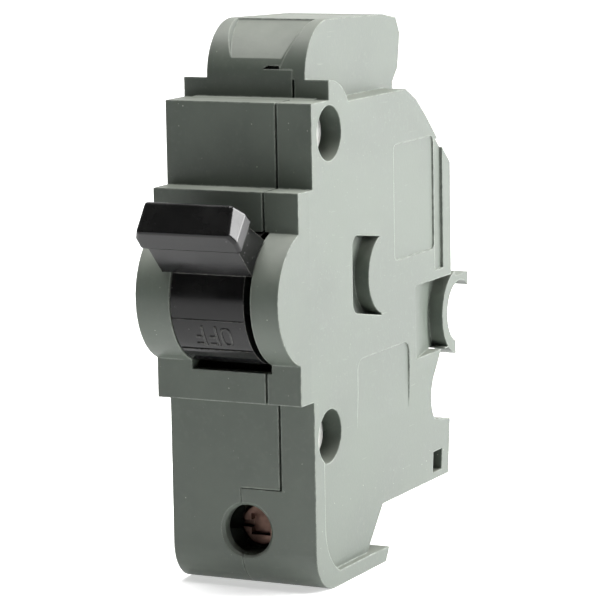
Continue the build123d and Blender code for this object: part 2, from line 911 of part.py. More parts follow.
# ---------- contact arm, drawn with the contacts open ----------
tail_angle = 180 + arm_swing
with BuildPart() as contact_arm:
    with BuildSketch(lever(arm_left, arm_y, 0, arm_open_angle)):
        Circle(arm_hub_radius)
        with BuildLine():
            Polyline(
                (0, limb_half + 0.6),
                (limb_length - tip_length / 2 - 1, limb_half),
                (limb_length + tip_length / 2, limb_half),
                (limb_length + tip_length / 2, -limb_half),
                (limb_length - tip_length / 2 - 1, -limb_half),
                (0, -limb_half - 0.6),
                close=True,
            )
        make_face()
    extrude(amount=arm_thickness)
    with BuildSketch(lever(arm_left, arm_y, 0, tail_angle)):
        with BuildLine():
            Polyline((0, 2.4), (tail_length, 2.3), (tail_length, -2.3), (0, -2.4), close=True)
        make_face()
        with Locations((tail_length, 0)):
            Rectangle(6.4, fork_slot, mode=Mode.SUBTRACT)
    extrude(amount=arm_thickness)
    with BuildSketch(lever(arm_right - 0.2, arm_y, 0, arm_open_angle)):
        with Locations((spring_arm_reach, 0)):
            Circle(spring_post)
    extrude(amount=cradle_left - 0.4 - arm_right + 0.2)
    with BuildSketch(lever(-tip_half_width, arm_y, 0, arm_open_angle)):
        with Locations((limb_length, -limb_half + 0.5)):
            Rectangle(tip_length, 1.0)
    extrude(amount=2 * tip_half_width)
    with BuildSketch(side(arm_left)):
        with Locations((arm_y, 0)):
            Circle(arm_pin_radius + fit_gap)
    extrude(amount=arm_thickness, mode=Mode.SUBTRACT)
contact_arm.part.label = "contact_arm"
export_step(contact_arm.part, "parts/contact_arm.step")

with BuildPart() as moving_contact:
    with BuildSketch(lever(-tip_half_width, arm_y, 0, arm_open_angle)):
        with Locations((limb_length, -limb_half - tip_thickness / 2)):
            Rectangle(tip_length, tip_thickness)
    extrude(amount=2 * tip_half_width)
    far_side = moving_contact.faces().sort_by(Axis.Y)[-1]
    fillet(far_side.edges(), 0.3)
moving_contact.part.label = "moving_contact"
export_step(moving_contact.part, "parts/moving_contact.step")

with BuildPart() as arm_pin:
    with BuildSketch(side(inner_left - 0.8)):
        with Locations((arm_y, 0)):
            Circle(arm_pin_radius)
    extrude(amount=arm_right + 0.1 - inner_left + 0.8)
    with BuildSketch(side(arm_right + 0.1)):
        with Locations((arm_y, 0)):
            Circle(arm_pin_radius + 0.7)
    extrude(amount=pin_head)
arm_pin.part.label = "arm_pin"
export_step(arm_pin.part, "parts/arm_pin.step")

# ---------- line side: fixed contact, strap, jaws ----------
fixed_face = -limb_half - tip_thickness - contact_gap
strap_face = fixed_face - tip_thickness
closed_lean = radians(contact_closed_angle)


def closed_point(reach, across):
    """Point in the Y-Z plane measured along and across the arm in its closed position."""
    return (
        arm_y + reach * cos(closed_lean) - across * sin(closed_lean),
        reach * sin(closed_lean) + across * cos(closed_lean),
    )


with BuildPart() as fixed_contact:
    with BuildSketch(lever(-tip_half_width, arm_y, 0, contact_closed_angle)):
        with Locations((limb_length, fixed_face - tip_thickness / 2)):
            Rectangle(tip_length, tip_thickness)
    extrude(amount=2 * tip_half_width)
fixed_contact.part.label = "fixed_contact"
export_step(fixed_contact.part, "parts/fixed_contact.step")

strap_mid = strap_face - strap_thickness / 2
with BuildPart() as line_strap:
    with BuildSketch(side(-strap_half_width)):
        with BuildLine():
            strap_run = FilletPolyline(
                closed_point(limb_length + tip_length / 2 + 0.6, strap_mid),
                closed_point(limb_length - tip_length / 2 - 1.0, strap_mid),
                (strap_y, 8.0),
                (strap_y, throat_z + jaw_half_height + 0.1),
                radius=1.5,
            )
        trace(strap_run, line_width=strap_thickness)
    extrude(amount=2 * strap_half_width)
    with BuildSketch(side(-jaw_gap)):
        with BuildLine():
            Polyline(
                (jaw_root_y, throat_z - jaw_half_height),
                (strap_y + 3.0, throat_z - jaw_half_height),
                (strap_y + 3.0, throat_z + jaw_half_height + 0.1),
                (strap_y + 0.8, throat_z + jaw_half_height + 1.6),
                (strap_y - 0.8, throat_z + jaw_half_height + 1.6),
                (jaw_root_y, throat_z + jaw_half_height + 0.1),
                close=True,
            )
        make_face()
    extrude(amount=2 * jaw_gap)
line_strap.part.label = "line_strap"
export_step(line_strap.part, "parts/line_strap.step")


def draw_jaw(direction):
    """Plan of one jaw leaf: flat root, bulge that grips the stab, flared lead-in."""
    inner = jaw_gap * direction
    with BuildLine() as run:
        FilletPolyline(
            (inner + direction * jaw_thickness / 2, jaw_root_y),
            (inner + direction * jaw_thickness / 2, -6.0),
            (inner - direction * 0.35 + direction * jaw_thickness / 2, 0.6),
            (inner + direction * (1.0 + jaw_thickness / 2), jaw_tip_y),
            radius=3.0,
        )
    trace(run.edges(), line_width=jaw_thickness)


with BuildPart() as jaw_left:
    with BuildSketch(Plane.XY.offset(throat_z - jaw_half_height)):
        draw_jaw(-1)
    extrude(amount=2 * jaw_half_height)
jaw_left.part.label = "jaw_left"
export_step(jaw_left.part, "parts/jaw_left.step")

with BuildPart() as jaw_right:
    with BuildSketch(Plane.XY.offset(throat_z - jaw_half_height)):
        draw_jaw(1)
    extrude(amount=2 * jaw_half_height)
jaw_right.part.label = "jaw_right"
export_step(jaw_right.part, "parts/jaw_right.step")

clip_inner = jaw_gap + jaw_thickness
with BuildPart() as jaw_spring:
    with BuildSketch(Plane.XY.offset(throat_z - clip_half_height)):
        with BuildLine():
            Polyline(
                (-clip_inner - clip_thickness, -6.0),
                (-clip_inner - clip_thickness, jaw_root_y - 1.2 - clip_thickness),
                (clip_inner + clip_thickness, jaw_root_y - 1.2 - clip_thickness),
                (clip_inner + clip_thickness, -6.0),
                (clip_inner, -6.0),
                (clip_inner, jaw_root_y - 1.2),
                (-clip_inner, jaw_root_y - 1.2),
                (-clip_inner, -6.0),
                close=True,
            )
        make_face()
    extrude(amount=2 * clip_half_height)
jaw_spring.part.label = "jaw_spring"
export_step(jaw_spring.part, "parts/jaw_spring.step")

# ---------- arc chute in the line-end block ----------
arc_plate_count = 5
arc_plate_pitch = 3.0
arc_plate_thickness = 1.0
arc_plate_half = 5.1
arc_bottom = shoulder_z - 0.6
arc_top = top_z - wall - 1.4
arc_first_y = upper_y + 15.0
with BuildPart() as arc_plates:
    for index in range(arc_plate_count):
        with BuildSketch(front(arc_first_y + index * arc_plate_pitch)):
            with BuildLine():
                Polyline(
                    (-arc_plate_half, arc_bottom),
                    (-2.6, arc_bottom),
                    (0, arc_bottom + 3.6),
                    (2.6, arc_bottom),
                    (arc_plate_half, arc_bottom),
                    (arc_plate_half, arc_top),
                    (-arc_plate_half, arc_top),
                    close=True,
                )
            make_face()
        extrude(amount=arc_plate_thickness)
arc_plates.part.label = "arc_plates"
export_step(arc_plates.part, "parts/arc_plates.step")

arc_wall_thickness = 0.6
with BuildPart() as arc_walls:
    for wall_x in (-arc_plate_half - arc_wall_thickness, arc_plate_half):
        with BuildSketch(side(wall_x)):
            with BuildLine():
                Polyline(
                    (arc_first_y - 2.5, arc_bottom),
                    (arc_first_y + arc_plate_count * arc_plate_pitch - 1.0, arc_bottom),
                    (arc_first_y + arc_plate_count * arc_plate_pitch - 1.0, arc_top),
                    (arc_first_y - 2.5, arc_top),
                    close=True,
                )
            make_face()
        extrude(amount=arc_wall_thickness)
arc_walls.part.label = "arc_walls"
export_step(arc_walls.part, "parts/arc_walls.step")

with BuildPart() as vent_baffle:
    with BuildSketch(front(upper_y + wall + 2.4)):
        with Locations((0, shoulder_z + 3.6)):
            Rectangle(11.6, 6.6)
        with Locations((-3.6, shoulder_z + 3.6), (0, shoulder_z + 3.6), (3.6, shoulder_z + 3.6)):
            Rectangle(1.0, 4.0, mode=Mode.SUBTRACT)
    extrude(amount=0.8)
vent_baffle.part.label = "vent_baffle"
export_step(vent_baffle.part, "parts/vent_baffle.step")

# ---------- trip side: cradle, spring, armature, yoke, bimetal ----------
nose_end_y = armature_y - ledge_reach - latch_gap
spring_top = (
    arm_y + spring_arm_reach * cos(radians(arm_open_angle)),
    spring_arm_reach * sin(radians(arm_open_angle)),
)
spring_bottom = (arm_y + 0.8, cradle_z + 0.6)
with BuildPart() as trip_cradle:
    with BuildSketch(side(cradle_left)):
        with Locations((cradle_y, cradle_z)):
            Circle(cradle_boss)
        with BuildLine():
            Polyline(
                (cradle_y, cradle_z + 2.4),
                (nose_end_y - 3.0, cradle_z + cradle_half),
                (nose_end_y - 2.4, cradle_z + 1.0),
                (nose_end_y, cradle_z + 0.8),
                (nose_end_y, cradle_z - 0.8),
                (nose_end_y - 3.0, cradle_z - cradle_half),
                (cradle_y, cradle_z - 2.4),
                close=True,
            )
        make_face()
    extrude(amount=cradle_thickness)
    with BuildSketch(side(spring_x - 0.9)):
        with Locations(spring_bottom):
            Circle(spring_post)
    extrude(amount=cradle_left - spring_x + 1.1)
    with BuildSketch(side(cradle_left)):
        with Locations((cradle_y, cradle_z)):
            Circle(arm_pin_radius + fit_gap)
    extrude(amount=cradle_thickness, mode=Mode.SUBTRACT)
trip_cradle.part.label = "trip_cradle"
export_step(trip_cradle.part, "parts/trip_cradle.step")

with BuildPart() as cradle_pin:
    with BuildSketch(side(inner_left - 0.8)):
        with Locations((cradle_y, cradle_z)):
            Circle(arm_pin_radius)
    extrude(amount=cradle_right + 0.1 - inner_left + 0.8)
    with BuildSketch(side(cradle_right + 0.1)):
        with Locations((cradle_y, cradle_z)):
            Circle(arm_pin_radius + 0.7)
    extrude(amount=pin_head)
cradle_pin.part.label = "cradle_pin"
export_step(cradle_pin.part, "parts/cradle_pin.step")

spring_rise = spring_top[1] - spring_bottom[1] - 2 * (spring_post + 0.3)
spring_base = Vector(spring_x, spring_bottom[0], spring_bottom[1] + spring_post + 0.3)
with BuildPart() as toggle_spring:
    with BuildLine(Plane(origin=spring_base, z_dir=(0, 0, 1))):
        coil = Helix(pitch=spring_rise / 11, height=spring_rise, radius=spring_coil_radius)
    with BuildSketch(Plane(origin=coil @ 0, z_dir=coil % 0)):
        Circle(spring_wire_radius)
    sweep(path=coil, is_frenet=True)
toggle_spring.part.label = "toggle_spring"
export_step(toggle_spring.part, "parts/toggle_spring.step")

with BuildPart() as armature:
    with BuildSketch(front(armature_y + armature_thickness)):
        with BuildLine():
            Polyline(
                (armature_left, armature_pin_z),
                (armature_right, armature_pin_z),
                (armature_right, cradle_z - 1.0),
                (armature_right - 1.2, cradle_z + 1.6),
                (armature_left, cradle_z + 1.6),
                close=True,
            )
        make_face()
    extrude(amount=armature_thickness)
    with BuildSketch(side(armature_left)):
        with Locations((armature_pin_y, armature_pin_z)):
            Circle(armature_pin_radius + 0.7)
    extrude(amount=armature_right - armature_left)
    with BuildSketch(front(armature_y)):
        with Locations(((cradle_left + cradle_right) / 2, cradle_z + 1.1)):
            Rectangle(cradle_thickness + 0.6, 1.0)
    extrude(amount=ledge_reach)
    with BuildSketch(side(armature_left)):
        with Locations((armature_pin_y, armature_pin_z)):
            Circle(armature_pin_radius + fit_gap)
    extrude(amount=armature_right - armature_left, mode=Mode.SUBTRACT)
armature.part.label = "armature"
export_step(armature.part, "parts/armature.step")

yoke_left = armature_left - yoke_gap - yoke_wall
yoke_right = armature_right + yoke_gap + yoke_wall
yoke_bottom = load_strap_top + bimetal_thickness
yoke_top = bimetal_top - 2.2
with BuildPart() as magnet_yoke:
    for cheek_x in (yoke_left, yoke_right - yoke_wall):
        with BuildSketch(side(cheek_x)):
            with BuildLine():
                Polyline(
                    (armature_y - 0.9, yoke_bottom),
                    (yoke_back_y, yoke_bottom),
                    (yoke_back_y, yoke_top),
                    (yoke_front_y, yoke_top),
                    (yoke_front_y, armature_pin_z + 2.6),
                    (armature_y - 0.9, armature_pin_z + 1.6),
                    close=True,
                )
            make_face()
        extrude(amount=yoke_wall)
    with BuildSketch(side(yoke_left)):
        with BuildLine():
            Polyline(
                (yoke_back_y, yoke_bottom),
                (yoke_back_y + yoke_wall, yoke_bottom),
                (yoke_back_y + yoke_wall, yoke_top),
                (yoke_back_y, yoke_top),
                close=True,
            )
        make_face()
    extrude(amount=yoke_right - yoke_left)
    with BuildSketch(side(yoke_left)):
        with Locations((armature_pin_y, armature_pin_z)):
            Circle(armature_pin_radius)
    extrude(amount=yoke_right - yoke_left, mode=Mode.SUBTRACT)
magnet_yoke.part.label = "magnet_yoke"
export_step(magnet_yoke.part, "parts/magnet_yoke.step")

with BuildPart() as armature_pin:
    with BuildSketch(side(yoke_left)):
        with Locations((armature_pin_y, armature_pin_z)):
            Circle(armature_pin_radius)
    extrude(amount=yoke_right - yoke_left)
armature_pin.part.label = "armature_pin"
export_step(armature_pin.part, "parts/armature_pin.step")

bimetal_left = armature_left + 0.8
bimetal_right = armature_right - 0.8
with BuildPart() as bimetal:
    with BuildSketch(side(bimetal_left)):
        with BuildLine():
            Polyline(
                (bimetal_y, bimetal_top),
                (bimetal_y, load_strap_top),
                (yoke_back_y + yoke_wall, load_strap_top),
                (yoke_back_y + yoke_wall, load_strap_top + bimetal_thickness),
                (bimetal_y + bimetal_thickness, load_strap_top + bimetal_thickness),
                (bimetal_y + bimetal_thickness, bimetal_top),
                close=True,
            )
        make_face()
    extrude(amount=bimetal_right - bimetal_left)
bimetal.part.label = "bimetal"
export_step(bimetal.part, "parts/bimetal.step")

leaf_thickness = 0.2
with BuildPart() as armature_spring:
    with BuildSketch(side(bimetal_left + 1.0)):
        with BuildLine():
            leaf_run = FilletPolyline(
                (bimetal_y - leaf_thickness / 2, load_strap_top + 4.0),
                (bimetal_y - leaf_thickness / 2, load_strap_top + 6.5),
                (armature_y + armature_thickness + 0.5, load_strap_top + 10.0),
                (armature_y + armature_thickness + 0.5, load_strap_top + 12.0),
                radius=1.0,
            )
        trace(leaf_run, line_width=leaf_thickness)
    extrude(amount=1.4)
armature_spring.part.label = "armature_spring"
export_step(armature_spring.part, "parts/armature_spring.step")

# ---------- braid from the arm to the bimetal ----------
braid_radius = 0.8
braid_x = arm_left - 0.2 - braid_radius
braid_start = (arm_y + 1.0, 6.0)
with BuildPart() as braid:
    with BuildLine(Plane.YZ.offset(braid_x)):
        braid_run = FilletPolyline(
            braid_start,
            (arm_y + 5.5, 1.0),
            (arm_y + 7.5, -8.0),
            (yoke_front_y - 2.2, bimetal_top + 0.2),
            (bimetal_y + 1.6, bimetal_top + 0.2),
            radius=2.0,
        )
    with BuildSketch(Plane(origin=braid_run @ 0, z_dir=braid_run % 0)):
        Circle(braid_radius)
    sweep(path=braid_run)
    with BuildSketch(side(braid_x - braid_radius)):
        with Locations(braid_start):
            Rectangle(2.4, 2.4)
    extrude(amount=arm_left - braid_x + braid_radius)
    with BuildSketch(side(braid_x - braid_radius)):
        with Locations((bimetal_y + bimetal_thickness + 0.9, bimetal_top)):
            Rectangle(1.8, 2.6)
    extrude(amount=bimetal_right - braid_x + braid_radius)
braid.part.label = "braid"
export_step(braid.part, "parts/braid.step")

# ---------- load strap and calibration screw ----------
calibration_y = -8.8
calibration_x = (bimetal_left + bimetal_right) / 2
calibration_radius = 1.1
load_strap_bottom = load_strap_top - load_strap_thickness
strap_front_y = window_rear_y - load_strap_thickness
with BuildPart() as load_strap:
    with BuildSketch(side(terminal_x - window_half + 0.2)):
        with BuildLine():
            Polyline(
                (strap_front_y, terminal_z - collar_half_height),
                (window_rear_y, terminal_z - collar_half_height),
                (window_rear_y, load_strap_bottom),
                (calibration_y - 2.4, load_strap_bottom),
                (calibration_y - 2.4, load_strap_top),
                (strap_front_y, load_strap_top),
                close=True,
            )
        make_face()
    extrude(amount=2 * window_half - 0.4)
    with BuildSketch(Plane.XY.offset(load_strap_bottom)):
        with BuildLine():
            Polyline(
                (terminal_x, -24.0),
                (yoke_right, -24.0),
                (yoke_right, calibration_y + 1.9),
                (yoke_left, calibration_y + 1.9),
                (terminal_x, -16.0),
                close=True,
            )
        make_face()
    extrude(amount=load_strap_thickness)
    with BuildSketch(Plane.XY.offset(load_strap_bottom)):
        with Locations((calibration_x, calibration_y)):
            Circle(calibration_radius)
    extrude(amount=load_strap_thickness, mode=Mode.SUBTRACT)
load_strap.part.label = "load_strap"
export_step(load_strap.part, "parts/load_strap.step")

with BuildPart() as calibration_screw:
    with BuildSketch(Plane.XY.offset(load_strap_bottom - 1.0)):
        with Locations((calibration_x, calibration_y)):
            Circle(calibration_radius + 0.7)
    extrude(amount=1.0)
    with BuildSketch(Plane.XY.offset(load_strap_bottom)):
        with Locations((calibration_x, calibration_y)):
            Circle(calibration_radius)
    extrude(amount=load_strap_thickness + 2.6)
    with BuildSketch(Plane.XY.offset(load_strap_bottom - 1.0)):
        with Locations((calibration_x, calibration_y)):
            Rectangle(4.0, 0.5)
    extrude(amount=0.5, mode=Mode.SUBTRACT)
calibration_screw.part.label = "calibration_screw"
export_step(calibration_screw.part, "parts/calibration_screw.step")

# ---------- terminal: collar, pressure plate, screw ----------
with BuildPart() as terminal_collar:
    with BuildSketch(Plane.XY.offset(terminal_z - collar_half_height)):
        with BuildLine():
            Polyline(
                (terminal_x - collar_half, collar_front_y),
                (terminal_x + collar_half, collar_front_y),
                (terminal_x + collar_half, collar_rear_y),
                (terminal_x - collar_half, collar_rear_y),
                close=True,
            )
        make_face()
        with Locations((terminal_x, (window_front_y + window_rear_y) / 2)):
            Rectangle(2 * window_half, window_rear_y - window_front_y, mode=Mode.SUBTRACT)
    extrude(amount=2 * collar_half_height)
    with BuildSketch(front(window_front_y)):
        with Locations((terminal_x, terminal_z)):
            Circle(screw_radius + fit_gap)
    extrude(amount=collar_front_wall, mode=Mode.SUBTRACT)
terminal_collar.part.label = "terminal_collar"
export_step(terminal_collar.part, "parts/terminal_collar.step")

plate_front_y = window_front_y + 0.1
with BuildPart() as pressure_plate:
    with BuildSketch(front(plate_front_y + plate_thickness)):
        with Locations((terminal_x, terminal_z)):
            RectangleRounded(2 * window_half - 0.4, 2 * collar_half_height - 0.4, 0.8)
    extrude(amount=plate_thickness)
pressure_plate.part.label = "pressure_plate"
export_step(pressure_plate.part, "parts/pressure_plate.step")

with BuildPart() as terminal_screw:
    with BuildSketch(front(screw_front_y + screw_head)):
        with Locations((terminal_x, terminal_z)):
            Circle(screw_head_radius)
    extrude(amount=screw_head)
    head_rim = terminal_screw.edges().filter_by(GeomType.CIRCLE).sort_by(Axis.Y)[0]
    fillet(head_rim, 0.6)
    with BuildSketch(front(plate_front_y)):
        with Locations((terminal_x, terminal_z)):
            Circle(screw_radius)
    extrude(amount=plate_front_y - screw_front_y - screw_head / 2)
    with BuildSketch(front(screw_front_y + 1.3)):
        with Locations((terminal_x, terminal_z)):
            Rectangle(2 * screw_head_radius + 1, 1.1)
    extrude(amount=2.0, mode=Mode.SUBTRACT)
    with BuildSketch(front(screw_front_y + 1.5)):
        with Locations((terminal_x, terminal_z)):
            Rectangle(3.4, 3.4)
    extrude(amount=2.0, mode=Mode.SUBTRACT)
terminal_screw.part.label = "terminal_screw"
export_step(terminal_screw.part, "parts/terminal_screw.step")
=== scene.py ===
"""Single-pole plug-on circuit breaker: finishes, moulded details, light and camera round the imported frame."""
import json
import math

import bmesh
import bpy
from mathutils import Matrix, Vector


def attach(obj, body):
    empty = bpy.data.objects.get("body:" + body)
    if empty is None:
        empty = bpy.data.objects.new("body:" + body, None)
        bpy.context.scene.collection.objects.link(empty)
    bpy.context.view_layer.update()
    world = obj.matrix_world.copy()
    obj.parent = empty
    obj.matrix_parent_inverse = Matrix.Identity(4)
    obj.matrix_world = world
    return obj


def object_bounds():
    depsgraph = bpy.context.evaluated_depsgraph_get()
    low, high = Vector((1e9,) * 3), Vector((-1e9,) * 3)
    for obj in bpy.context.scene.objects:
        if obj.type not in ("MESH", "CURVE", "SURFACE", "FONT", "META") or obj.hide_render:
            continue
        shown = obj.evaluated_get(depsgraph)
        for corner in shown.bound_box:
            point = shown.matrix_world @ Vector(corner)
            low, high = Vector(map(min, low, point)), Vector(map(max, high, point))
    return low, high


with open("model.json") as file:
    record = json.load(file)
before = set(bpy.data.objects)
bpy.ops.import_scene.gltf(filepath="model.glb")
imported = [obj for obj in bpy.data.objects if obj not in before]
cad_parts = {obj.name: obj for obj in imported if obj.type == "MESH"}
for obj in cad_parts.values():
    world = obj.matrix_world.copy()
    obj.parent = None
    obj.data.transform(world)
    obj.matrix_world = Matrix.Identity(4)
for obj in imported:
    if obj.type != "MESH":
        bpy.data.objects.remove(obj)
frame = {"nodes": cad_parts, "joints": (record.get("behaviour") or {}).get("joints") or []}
cad_low, cad_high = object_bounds()

MM = 0.001


# ---------- shared surface effects ----------
def new_group(name, inputs, outputs):
    """A shader node group with named inputs and outputs, and its two end nodes."""
    group = bpy.data.node_groups.new(name, "ShaderNodeTree")
    for label, kind, value in inputs:
        socket = group.interface.new_socket(name=label, in_out="INPUT", socket_type=kind)
        socket.default_value = value
    for label, kind in outputs:
        group.interface.new_socket(name=label, in_out="OUTPUT", socket_type=kind)
    start = group.nodes.new("NodeGroupInput")
    end = group.nodes.new("NodeGroupOutput")
    return group, start, end


NUMBER = "NodeSocketFloat"
COLOUR = "NodeSocketColor"
VECTOR = "NodeSocketVector"


def add(tree, kind, **settings):
    """A node with its settings; a key that names an input sets that input's value."""
    node = tree.nodes.new(kind)
    for key, value in settings.items():
        if hasattr(node, key):
            setattr(node, key, value)
        else:
            node.inputs[key.replace("_", " ")].default_value = value
    return node


def join(tree, out_socket, in_socket):
    """Links an output socket to an input socket."""
    tree.links.new(out_socket, in_socket)


def maths(tree, operation, first, second=None):
    """A maths node between sockets or numbers; gives its output socket."""
    node = tree.nodes.new("ShaderNodeMath")
    node.operation = operation
    for socket, value in zip(node.inputs, (first, second)):
        if value is None:
            continue
        if isinstance(value, (int, float)):
            socket.default_value = value
        else:
            join(tree, value, socket)
    return node.outputs[0]


def remap(tree, value, low, high, to_low=0.0, to_high=1.0):
    """Value carried smoothly from one range to another, and held at its ends; gives its output socket."""
    node = add(tree, "ShaderNodeMapRange", clamp=True)
    node.interpolation_type = "SMOOTHSTEP"
    join(tree, value, node.inputs["Value"])
    node.inputs["From Min"].default_value = low
    node.inputs["From Max"].default_value = high
    node.inputs["To Min"].default_value = to_low
    node.inputs["To Max"].default_value = to_high
    return node.outputs["Result"]


def blend_colours(tree, factor, first, second):
    """Mix of two colours, each a socket or a plain colour."""
    node = tree.nodes.new("ShaderNodeMix")
    node.data_type = "RGBA"
    if isinstance(factor, (int, float)):
        node.inputs[0].default_value = factor
    else:
        join(tree, factor, node.inputs[0])
    for socket, value in ((node.inputs[6], first), (node.inputs[7], second)):
        if isinstance(value, (tuple, list)):
            socket.default_value = (*value[:3], 1.0)
        else:
            join(tree, value, socket)
    return node.outputs[2]


def make_edge_wear_and_highlight():
    """Pale line along the outer corners, broken up by noise: partly rubbed edges, partly a painted highlight
    where the corners catch the light.
    """
    group, start, end = new_group(
        "edge wear",
        [("Width", NUMBER, 0.0003), ("Breaks", NUMBER, 600.0), ("Amount", NUMBER, 1.0)],
        [("Mask", NUMBER)],
    )
    bevel = add(group, "ShaderNodeBevel", samples=6)
    join(group, start.outputs["Width"], bevel.inputs["Radius"])
    shape = add(group, "ShaderNodeNewGeometry")
    dot = group.nodes.new("ShaderNodeVectorMath")
    dot.operation = "DOT_PRODUCT"
    join(group, bevel.outputs[0], dot.inputs[0])
    join(group, shape.outputs["Normal"], dot.inputs[1])
    corner = remap(group, dot.outputs["Value"], 0.985, 0.86)
    place = add(group, "ShaderNodeTexCoord")
    noise = add(group, "ShaderNodeTexNoise", Detail=5.0, Roughness=0.65)
    join(group, place.outputs["Object"], noise.inputs["Vector"])
    join(group, start.outputs["Breaks"], noise.inputs["Scale"])
    broken = remap(group, noise.outputs["Fac"], 0.30, 0.62)
    mask = maths(group, "MULTIPLY", corner, broken)
    mask = maths(group, "MULTIPLY", mask, start.outputs["Amount"])
    join(group, mask, end.inputs["Mask"])
    return group


def make_moulded_grain():
    """Fine spark-eroded skin of a moulding: height for bump, and slow drifts in shade."""
    group, start, end = new_group(
        "moulded grain",
        [("Grain size", NUMBER, 0.00035), ("Drift size", NUMBER, 0.02)],
        [("Height", NUMBER), ("Drift", NUMBER), ("Speckle", NUMBER)],
    )
    place = add(group, "ShaderNodeTexCoord")
    fine = add(group, "ShaderNodeTexNoise", Detail=3.0, Roughness=0.6)
    join(group, place.outputs["Object"], fine.inputs["Vector"])
    join(group, maths(group, "DIVIDE", 1.0, start.outputs["Grain size"]), fine.inputs["Scale"])
    slow = add(group, "ShaderNodeTexNoise", Detail=4.0, Roughness=0.55)
    join(group, place.outputs["Object"], slow.inputs["Vector"])
    join(group, maths(group, "DIVIDE", 1.0, start.outputs["Drift size"]), slow.inputs["Scale"])
    speck = add(group, "ShaderNodeTexNoise", Detail=2.0, Roughness=0.5)
    join(group, place.outputs["Object"], speck.inputs["Vector"])
    join(group, maths(group, "DIVIDE", 0.55, start.outputs["Grain size"]), speck.inputs["Scale"])
    join(group, fine.outputs["Fac"], end.inputs["Height"])
    join(group, slow.outputs["Fac"], end.inputs["Drift"])
    join(group, speck.outputs["Fac"], end.inputs["Speckle"])
    return group


def make_dust_and_top_light():
    """Uneven pale dusty specks, and a smooth pale layer on faces turned up that is partly settled dirt and
    partly painted light falling on top faces.
    """
    group, start, end = new_group(
        "settled dust",
        [("Speck size", NUMBER, 0.0007), ("Amount", NUMBER, 1.0), ("Film", NUMBER, 0.2)],
        [("Mask", NUMBER)],
    )
    place = add(group, "ShaderNodeTexCoord")
    ragged = add(group, "ShaderNodeTexNoise", Scale=5200.0, Detail=2.0, Roughness=0.6)
    join(group, place.outputs["Object"], ragged.inputs["Vector"])
    cells = add(group, "ShaderNodeTexVoronoi", Randomness=1.0)
    join(group, place.outputs["Object"], cells.inputs["Vector"])
    join(group, maths(group, "DIVIDE", 1.0, start.outputs["Speck size"]), cells.inputs["Scale"])
    roughened = maths(group, "MULTIPLY", ragged.outputs["Fac"], 0.22)
    edge = maths(group, "ADD", cells.outputs["Distance"], roughened)
    near = remap(group, edge, 0.26, 0.17)
    pick = add(group, "ShaderNodeSeparateColor")
    join(group, cells.outputs["Color"], pick.inputs[0])
    rare = remap(group, pick.outputs[0], 0.90, 0.99)
    specks = maths(group, "MULTIPLY", maths(group, "MULTIPLY", near, rare), start.outputs["Amount"])
    shape = add(group, "ShaderNodeNewGeometry")
    parts = add(group, "ShaderNodeSeparateXYZ")
    join(group, shape.outputs["Normal"], parts.inputs[0])
    # Faces turned up are made paler here: partly settled dirt, partly painted light from above.
    upward = remap(group, parts.outputs["Z"], 0.05, 0.9)
    cloud = add(group, "ShaderNodeTexNoise", Scale=120.0, Detail=3.0, Roughness=0.5)
    join(group, place.outputs["Object"], cloud.inputs["Vector"])
    dust_film_and_top_light = maths(group, "MULTIPLY", upward, remap(group, cloud.outputs["Fac"], 0.2, 0.8, 0.55, 1.0))
    dust_film_and_top_light = maths(group, "MULTIPLY", dust_film_and_top_light, start.outputs["Film"])
    join(group, maths(group, "MAXIMUM", specks, dust_film_and_top_light), end.inputs["Mask"])
    return group


def make_scratches():
    """Short fine scratches that run in two directions."""
    group, start, end = new_group(
        "fine scratches",
        [("Spacing", NUMBER, 0.004), ("Amount", NUMBER, 1.0)],
        [("Mask", NUMBER)],
    )
    place = add(group, "ShaderNodeTexCoord")
    total = None
    for turn, stretch in ((0.5, 18.0), (-0.9, 26.0), (1.4, 22.0)):
        lay = add(group, "ShaderNodeMapping")
        lay.inputs["Rotation"].default_value = (turn, turn * 0.7, turn * 1.3)
        lay.inputs["Scale"].default_value = (stretch, 1.0, stretch)
        join(group, place.outputs["Object"], lay.inputs["Vector"])
        noise = add(group, "ShaderNodeTexNoise", Detail=2.0, Roughness=0.5)
        join(group, lay.outputs[0], noise.inputs["Vector"])
        join(group, maths(group, "DIVIDE", 1.0, start.outputs["Spacing"]), noise.inputs["Scale"])
        line = remap(group, noise.outputs["Fac"], 0.735, 0.80)
        total = line if total is None else maths(group, "MAXIMUM", total, line)
    join(group, maths(group, "MULTIPLY", total, start.outputs["Amount"]), end.inputs["Mask"])
    return group


EDGE_WEAR_AND_HIGHLIGHT = make_edge_wear_and_highlight()
MOULDED_GRAIN = make_moulded_grain()
DUST_AND_TOP_LIGHT = make_dust_and_top_light()
SCRATCHES = make_scratches()


def use(tree, group, **values):
    """Places a shared group in a material and sets its inputs."""
    node = tree.nodes.new("ShaderNodeGroup")
    node.node_tree = group
    for key, value in values.items():
        node.inputs[key.replace("_", " ")].default_value = value
    return node


def new_material(name, **shader_values):
    """A material with a Principled shader whose constants are set on its own sockets."""
    material = bpy.data.materials.new(name)
    material.use_nodes = True
    tree = material.node_tree
    shader = tree.nodes["Principled BSDF"]
    for key, value in shader_values.items():
        shader.inputs[key.replace("_", " ")].default_value = value
    return material, tree, shader


def soft_corner(tree, radius, bump=None, strength=0.2, distance=0.00005):
    """Rounded corners for the light, with the surface's own bump on top."""
    bevel = add(tree, "ShaderNodeBevel", samples=6)
    bevel.inputs["Radius"].default_value = radius
    if bump is None:
        return bevel.outputs[0]
    node = add(tree, "ShaderNodeBump")
    node.inputs["Strength"].default_value = strength
    node.inputs["Distance"].default_value = distance
    join(tree, bump, node.inputs["Height"])
    join(tree, bevel.outputs[0], node.inputs["Normal"])
    return node.outputs[0]


# ---------- finishes ----------
CASE_DARK = (0.062, 0.075, 0.061)
CASE_LIGHT = (0.084, 0.100, 0.082)
